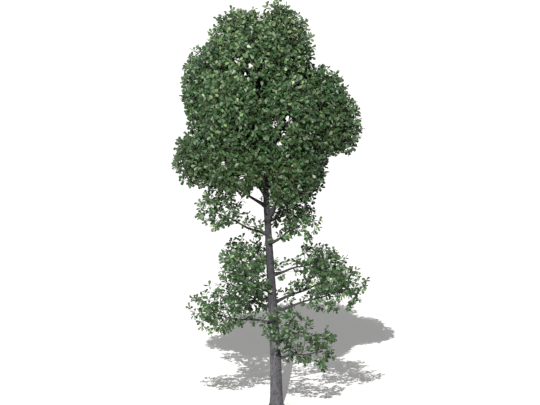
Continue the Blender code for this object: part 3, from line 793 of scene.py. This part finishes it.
def dealColours(mass, tips, own, dice):
    # a colour for each leaf, from random tone and from painted light and shade by where it sits in the crown
    count = sprays["leaves"]
    start = Vector(dealing["cloudStart"])
    clouds = np.array([noise.noise(Vector(tip) / dealing["cloudSize"] + start) for tip in tips])
    middle, rise = dealing["heights"]
    level = np.clip((tips[:, 2] - middle) / rise, dealing["lowest"], 1)
    # painted light and shade: lighter colours towards the crown's top, darker ones below its middle
    light = dealing["middle"] + dealing["height"] * level + dealing["clouds"] * clouds
    light += dealing["lowMasses"] if mass["kind"] == "open" else 0
    # painted shade round those places
    for x, z, halfWidth, halfHeight, dark in dealing["paintedShades"]:
        near = 1 - ((tips[:, 0] - x) / halfWidth) ** 2 - ((tips[:, 2] - z) / halfHeight) ** 2
        light -= dark * np.clip(near, 0, 1)
    light += dice.normal(0, dealing["spread"][0], len(tips))
    light = np.repeat(light, count) + dice.normal(0, dealing["spread"][1], count * len(tips))
    chosen = leafNumbers["leafDeep"] + np.searchsorted(dealing["steps"], light)
    chosen[chosen > leafNumbers["leafDeep"]] += 1
    luck = dice.uniform(0, 1, len(light))
    chosen[(chosen == leafNumbers["leafMid"]) & (luck < dealing["blue"])] = leafNumbers["leafBlue"]
    # painted glow: leaves deep inside a dense mass are dealt the lighter olive colour
    first, last = dealing["paintedGlow"]
    paintedGlow = dice.uniform(0, 1, len(light)) < (first - np.repeat(own, count)) / (first - last)
    chosen[paintedGlow & (mass["kind"] == "dense")] = leafNumbers["leafInnerPaintedGlow"]
    return chosen


# Materials


def setUp(name, roughness):
    made = bpy.data.materials.new(name)
    made.use_nodes = True
    surface = made.node_tree.nodes["Principled BSDF"]
    surface.inputs["Roughness"].default_value = roughness
    return made, made.node_tree, surface


def wired(tree, kind, inputs, **settings):
    # a new node, each of whose inputs is given as a value or as the output of another node
    node = tree.nodes.new(kind)
    for name, value in settings.items():
        setattr(node, name, value)
    for socket, value in inputs.items():
        if isinstance(value, bpy.types.NodeSocket):
            tree.links.new(value, node.inputs[socket])
        else:
            node.inputs[socket].default_value = value
    return node


def ranged(tree, value, ends, results=(0, 1)):
    # where the value lies between two ends, told as a number between two results
    (low, high), (first, last) = ends, results
    inputs = {"Value": value, "From Min": low, "From Max": high, "To Min": first, "To Max": last}
    return wired(tree, "ShaderNodeMapRange", inputs).outputs["Result"]


def mixedColour(tree, share, first, second):
    inputs = {"Factor": share, "A": first, "B": second}
    return wired(tree, "ShaderNodeMix", inputs, data_type="RGBA").outputs["Result"]


def mottleGroup():
    # soft patches of lighter and darker tone, stretched along Z
    group = bpy.data.node_groups.new("mottle", "ShaderNodeTree")
    sockets = {"Colour": (0.5, 0.5, 0.5, 1), "Scale": 4.0, "Stretch": 1.0, "Strength": 0.3}
    for label, value in sockets.items():
        kind = "NodeSocketColor" if label == "Colour" else "NodeSocketFloat"
        group.interface.new_socket(label, in_out="INPUT", socket_type=kind).default_value = value
    for label, kind in (("Colour", "NodeSocketColor"), ("Value", "NodeSocketFloat")):
        group.interface.new_socket(label, in_out="OUTPUT", socket_type=kind)
    given = group.nodes.new("NodeGroupInput").outputs
    place = group.nodes.new("ShaderNodeTexCoord").outputs["Object"]
    squeeze = wired(group, "ShaderNodeCombineXYZ", {"X": 1, "Y": 1, "Z": given["Stretch"]})
    inputs = {0: place, 1: squeeze.outputs["Vector"]}
    scaled = wired(group, "ShaderNodeVectorMath", inputs, operation="MULTIPLY").outputs["Vector"]
    patches = wired(group, "ShaderNodeTexNoise", {"Vector": scaled, "Scale": given["Scale"], "Detail": 5})
    spread = ranged(group, patches.outputs["Fac"], (0.3, 0.7), (-1, 1))  # the noise mostly lies between these
    inputs = {0: spread, 1: given["Strength"], 2: 1}
    tone = wired(group, "ShaderNodeMath", inputs, operation="MULTIPLY_ADD").outputs["Value"]
    tinted = wired(group, "ShaderNodeVectorMath", {0: given["Colour"], "Scale": tone}, operation="SCALE")
    wired(group, "NodeGroupOutput", {"Colour": tinted.outputs["Vector"], "Value": patches.outputs["Fac"]})
    return group


mottle = mottleGroup()


def placeMottle(tree, colour, scale, stretch, strength):
    inputs = {"Colour": colour, "Scale": scale, "Stretch": stretch, "Strength": strength}
    return wired(tree, "ShaderNodeGroup", inputs, node_tree=mottle)


barkLook = {
    "plate": (0.075, 0.074, 0.082),
    "highPlate": (0.041, 0.040, 0.044),  # darker, higher up the trunk
    "heights": (1.5, 6.5),  # between which the one turns into the other
    # the boughs' plates, darker than the trunk's, partly as painted shade from the crown above them
    "boughPlate": (0.041, 0.040, 0.043),
    "furrow": (0.020, 0.019, 0.021),
    "furrowEnds": (0.05, 0.75),  # the relief at which a furrow's colour ends and a plate's starts
    "patches": (5.0, 0.45, 0.35),  # scale, stretch and strength
    "grain": (60.0, 0.35, 0.45),
    "grainDepth": 0.004,
    "roughness": 0.92,
    "gloss": 0.25,
}


def barkMaterial(name, plate, highPlate):
    # grey plates, darker higher up, near black furrows between them and a fine grain all over
    made, tree, surface = setUp(name, barkLook["roughness"])
    surface.inputs["Specular IOR Level"].default_value = barkLook["gloss"]
    place = tree.nodes.new("ShaderNodeTexCoord").outputs["Object"]
    height = wired(tree, "ShaderNodeSeparateXYZ", {"Vector": place}).outputs["Z"]
    grown = mixedColour(tree, ranged(tree, height, barkLook["heights"]), (*plate, 1), (*highPlate, 1))
    plates = placeMottle(tree, grown, *barkLook["patches"])
    grain = placeMottle(tree, plates.outputs["Colour"], *barkLook["grain"])
    relief = wired(tree, "ShaderNodeAttribute", {}, attribute_name="furrows").outputs["Fac"]
    onPlate = ranged(tree, relief, barkLook["furrowEnds"])
    colour = mixedColour(tree, onPlate, (*barkLook["furrow"], 1), grain.outputs["Colour"])
    tree.links.new(colour, surface.inputs["Base Color"])
    inputs = {"Distance": barkLook["grainDepth"], "Height": grain.outputs["Value"]}
    tree.links.new(wired(tree, "ShaderNodeBump", inputs).outputs["Normal"], surface.inputs["Normal"])
    return made


twigLook = {"colour": (0.050, 0.054, 0.036), "patches": (9.0, 1.0, 0.35), "roughness": 0.85}


def twigMaterial():
    made, tree, surface = setUp("twig", twigLook["roughness"])
    tone = placeMottle(tree, (*twigLook["colour"], 1), *twigLook["patches"])
    tree.links.new(tone.outputs["Colour"], surface.inputs["Base Color"])
    return made


leafLook = {"patches": (2.2, 1.0, 0.16), "roughness": (0.46, 0.85)}  # of the upper side and of the underside


def leafMaterial(name, upper, under):
    # a glossy upper side, and a paler, velvety one beneath
    made, tree, surface = setUp(name, leafLook["roughness"][0])
    tone = placeMottle(tree, (*upper, 1), *leafLook["patches"])
    beneath = tree.nodes.new("ShaderNodeNewGeometry").outputs["Backfacing"]
    colour = mixedColour(tree, beneath, tone.outputs["Colour"], (*under, 1))
    tree.links.new(colour, surface.inputs["Base Color"])
    tree.links.new(ranged(tree, beneath, (0, 1), leafLook["roughness"]), surface.inputs["Roughness"])
    return made


# Putting the tree together


def meshPiece(name, points, faces, materials, chosen):
    data = bpy.data.meshes.new(name)
    data.vertices.add(len(points))
    data.vertices.foreach_set("co", np.ascontiguousarray(points, np.float32).reshape(-1))
    data.loops.add(3 * len(faces))
    data.loops.foreach_set("vertex_index", np.ascontiguousarray(faces, np.int32).reshape(-1))
    data.polygons.add(len(faces))
    data.polygons.foreach_set("loop_start", np.arange(0, 3 * len(faces), 3, dtype=np.int32))
    for material in materials:
        data.materials.append(material)
    data.polygons.foreach_set("material_index", np.ascontiguousarray(chosen, np.int32))
    data.update(calc_edges=True)
    return addObject(name, data)


shoots = {
    "alongBough": (0.34, 0.58, 0.84),  # where they sit on the bare stretch of an open mass's bough
    "step": 0.02,  # to which that place is rounded
    "length": (0.22, 0.46),
    "rise": (-0.35, 1.1),
    "forward": 0.7,
    "fan": 0.13,  # how far their sprays stand about the tip
    "sprays": (3, 6),
    "sideways": (0.2, 1),
    "stub": 0.04,  # the first stretch, which only points the way
    "nearWood": 0.14,  # so far from its foot a shoot may lie against the wood that it grows from
    "woodGap": 0.01,
    # for these masses, height and azimuth on the trunk
    "onTrunk": {
        "low_front": ((2.75, 245), (3.2, 300)),
        "mid_left": ((6.3, 205),),
        "right_mid": ((4.95, 310),),
    },
    "trunkRise": 0.35,
    "trunkDepth": 0.9,  # where they start, as a share of the trunk's radius
}


def shootRoots(mass, dice):
    # where short leafy shoots start on the bare wood, and which way they go
    for height, azimuth in shoots["onTrunk"].get(mass["name"], ()):
        angle = math.radians(azimuth)
        way = Vector((math.cos(angle), math.sin(angle), shoots["trunkRise"])).normalized()
        yield trunkMiddle(height) + shoots["trunkDepth"] * trunkRadius(height) * way, way
    if mass["kind"] == "dense" or not mass["foot"]:
        return
    line, _ = evenly(boughStations(mass)[0], shoots["step"])
    for number, share in enumerate(shoots["alongBough"]):
        spot = int(share * (len(line) - 1))
        ahead = unit(line[spot + 1] - line[spot - 1])
        side = unit(np.cross(ahead, (0, 0, 1))) * (1 if number % 2 else -1)
        rise = np.array((0, 0, dice.uniform(*shoots["rise"])))
        way = shoots["forward"] * ahead + side * dice.uniform(*shoots["sideways"]) + rise
        yield Vector(line[spot]), Vector(way).normalized()


def growShoot(mass, root, way, dice):
    skeleton = newSkeleton([root, root + way * shoots["stub"]])
    tip = np.array(root + way * dice.uniform(*shoots["length"]))
    targets = tip + dice.normal(0, shoots["fan"], (dice.integers(*shoots["sprays"]), 3))

    def allowed(path):
        near = np.linalg.norm(path - np.array(root), axis=1) <= shoots["nearWood"]
        return near | (clearances(mass, path) > shoots["woodGap"])

    return dressed(mass, skeleton, growTwigs(skeleton, targets, allowed, dice, 0), dice)


def growMass(mass):
    # what grows from a mass's stem, and the shoots that belong to it
    draw = random.Random("leaves " + mass["name"])
    dice = np.random.default_rng(growth["seed"] + mass["index"])
    stem = stemOf(mass)
    skeleton = newSkeleton([*stem, *leadOf(mass, stem)])

    def allowed(path):
        return inOwnSpace(mass, path)

    twigs = growTwigs(skeleton, solidTips(mass, draw), allowed, dice)
    for gap, hollow in (growth["branches"], sprays["room"][mass["kind"]]):
        twigs += growTwigs(skeleton, scattered(mass, gap, hollow, dice), allowed, dice)
    grown = [dressed(mass, skeleton, twigs, dice)]
    for root, way in shootRoots(mass, dice):
        grown.append(growShoot(mass, root, way, dice))
    return grown


def dressed(mass, skeleton, twigs, dice):
    # the lines of these twigs with their radii, and the leaves at their tips with their colours
    points = np.array(skeleton["points"])
    tips = [nodes[-1] for nodes in twigs]
    radii = twigRadii(skeleton, tips)
    lines = []
    for nodes in twigs:
        widths = radii[nodes]
        widths[0] = widths[1]
        lines.append((points[nodes], widths))
    ends = points[tips]
    ways = np.array([skeleton["headings"][tip] for tip in tips])
    outward = unit(ends - np.array(mass["heart"]))
    leaves = sprayLeaves(ends, ways, outward, dice)
    colours = dealColours(mass, ends, depths(ends)[:, mass["index"]], dice)
    middles = leaves[0] + leaves[1] * leaves[4][:, None] * leafShape["clearPoint"]
    clear = (clearances(mass, middles) > 0) & ~inWindow(middles)
    if mass["kind"] == "open":
        clear &= ~beforeBoughs(middles) | (dice.uniform(0, 1, len(middles)) < sprays["boughCover"])
    leaves = [values[clear] for values in leaves]
    leafPoints, leafFaces = leafArrays(leaves, dice)
    perLeaf = len(leafModels[0][1])
    return lines, leafPoints, leafFaces, np.repeat(colours[clear], perLeaf)


def joined(meshes):
    # many meshes' points and triangles as one mesh's
    points, faces, first = [], [], 0
    for some, triangles in meshes:
        points.append(some)
        faces.append(triangles + first)
        first += len(some)
    return np.concatenate(points), np.concatenate(faces)


def twigTubes(lines):
    # one mesh from all lines of each count
    for count in sorted({len(line) for line, _ in lines}):
        some = [(line, widths) for line, widths in lines if len(line) == count]
        yield threeSided([line for line, _ in some], [widths for _, widths in some])


pieceLimit = 190000  # triangles in one piece


def inPieces(grown):
    # the masses in turn, as groups whose leaves stay within one piece's limit
    group, size = [], 0
    for mass, parts in grown:
        if group and size + len(parts[2]) > pieceLimit:
            yield group
            group, size = [], 0
        group.append((mass, parts))
        size += len(parts[2])
    yield group


def findLimbs():
    # all the wood that twigs and leaves keep clear of, and the boughs that show
    heights = trunkStations()
    addLimb([trunkMiddle(h) for h in heights], [trunkRadius(h) for h in heights])
    for mass in masses:
        if mass["foot"]:
            points, _ = boughStations(mass)
            last = len(points) - 1
            radii = [boughRadius(mass, i / last, (p - points[0]).length) for i, p in enumerate(points)]
            addLimb(points, radii)
        else:
            stem = stemOf(mass)
            radii = np.linspace(boughs["stemRadius"], boughs["stemTipRadius"], len(stem))
            addLimb(stem, radii, mass["name"])
    for mass in masses:
        mass["seen"] = limbsSeenBy(mass)
        if mass["name"] in sprays["bareBoughs"]:
            showBough(mass)


def makeBark():
    bark = barkMaterial("bark", barkLook["plate"], barkLook["highPlate"])
    trunkBark = barkPiece("trunkBark", [trunkTube()], bark)
    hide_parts("trunk")
    tubes = [boughTube(mass) for mass in masses]
    bark = barkMaterial("boughBark", barkLook["boughPlate"], barkLook["boughPlate"])
    boughBark = barkPiece("boughBark", tubes, bark)
    boughNodes = ["bough_" + mass["name"] for mass in masses if mass["foot"]]
    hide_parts(*boughNodes)
    for piece in (trunkBark, boughBark):
        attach(piece, "root")
    print("bark:", sum(len(p.data.polygons) * 2 for p in (trunkBark, boughBark)), "triangles")


def makeFoliage():
    twig = twigMaterial()
    greens = [leafMaterial(name, *sides) for name, sides in leafColours.items()]
    grown = [(mass, part) for mass in masses for part in growMass(mass)]
    for number, group in enumerate(inPieces(grown), 1):
        nodes = sorted({"leaves_" + mass["name"] for mass, _ in group})
        points, faces = joined([parts[1:3] for _, parts in group])
        colours = np.concatenate([parts[3] for _, parts in group])
        foliage = meshPiece(f"foliage{number}", points, faces, greens, colours)
        points, faces = joined(twigTubes([line for _, parts in group for line in parts[0]]))
        twigs = meshPiece(f"twigs{number}", points, faces, [twig], np.zeros(len(faces)))
        for piece, slot in ((foliage, "leaves"), (twigs, "bark")):
            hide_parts(*nodes)
            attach(piece, "root")
        print(foliage.name, len(foliage.data.polygons), twigs.name, len(twigs.data.polygons), "triangles")


studio = {
    "floorSize": 4000.0,
    "floorColour": (0.80, 0.80, 0.80),
    "aim": (-0.232, 0.0, 7.559),
    "distance": 600.0,  # far off, so that near and far things look the same size
    "elevation": 8.0,
    "pixelsPerMetre": 27.12,
    "pictureWidth": 540,
    "shadowPerMetre": (0.128, 1.713),  # where the sun throws the shadow of each metre of height
    "sunStrength": 6.4,
    "sunAngle": 0.12,
    "lightColour": (1.0, 0.985, 0.96),
    "fillWay": (0.766, 0.643, -0.16),  # soft light from the left, too low to show on the floor
    "fillStrength": 2.5,
    "fillAngle": 25.0,
    "ambient": (0.28, 0.28, 0.28),
    "ambientSides": (1.85, 0.15),  # how much of it comes from the left and from the right
}


def makeFloor():
    bpy.ops.mesh.primitive_plane_add(size=studio["floorSize"])
    floor = bpy.context.active_object
    floor.name = "floor"
    made, _, surface = setUp("floor", 1.0)
    surface.inputs["Base Color"].default_value = (*studio["floorColour"], 1)
    surface.inputs["Specular IOR Level"].default_value = 0
    floor.data.materials.append(made)
    floor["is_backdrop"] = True


def makeSun(name, way, strength, angle):
    sun = bpy.data.lights.new(name, "SUN")
    sun.energy = strength
    sun.angle = math.radians(angle)
    sun.color = studio["lightColour"]
    addObject(name, sun).rotation_euler = way.to_track_quat("-Z", "Y").to_euler()


def makeLight():
    makeSun("sun", Vector((*studio["shadowPerMetre"], -1)), studio["sunStrength"], studio["sunAngle"])
    makeSun("fill", Vector(studio["fillWay"]), studio["fillStrength"], studio["fillAngle"])
    world = bpy.data.worlds.new("studio")
    bpy.context.scene.world = world
    world.use_nodes = True
    tree = world.node_tree
    soft = tree.nodes["Background"]
    soft.inputs["Color"].default_value = (*studio["ambient"], 1)
    way = tree.nodes.new("ShaderNodeTexCoord").outputs["Generated"]
    across = wired(tree, "ShaderNodeSeparateXYZ", {"Vector": way}).outputs["X"]
    tree.links.new(ranged(tree, across, (-1, 1), studio["ambientSides"]), soft.inputs["Strength"])
    # the camera sees plain white in place of the soft light
    white = wired(tree, "ShaderNodeBackground", {"Color": (1, 1, 1, 1)}).outputs["Background"]
    seen = tree.nodes.new("ShaderNodeLightPath").outputs["Is Camera Ray"]
    chosen = wired(tree, "ShaderNodeMixShader", {"Fac": seen, 1: soft.outputs["Background"], 2: white})
    tree.links.new(chosen.outputs["Shader"], tree.nodes["World Output"].inputs["Surface"])


def makeCamera():
    data = bpy.data.cameras.new("camera")
    data.sensor_width = 36
    data.lens = studio["pixelsPerMetre"] * studio["distance"] / studio["pictureWidth"] * data.sensor_width
    data.clip_end = studio["floorSize"]
    camera = addObject("camera", data)
    rise = math.radians(studio["elevation"])
    back = Vector((0, -math.cos(rise), math.sin(rise)))
    camera.location = Vector(studio["aim"]) + back * studio["distance"]
    camera.rotation_euler = (-back).to_track_quat("-Z", "Y").to_euler()
    bpy.context.scene.camera = camera


findLimbs()
makeBark()
makeFoliage()
makeFloor()
makeLight()
makeCamera()
bpy.context.scene.view_settings.view_transform = "Standard"
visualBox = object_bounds()
[[list(corner) for corner in box] for box in (cadBox, visualBox)]
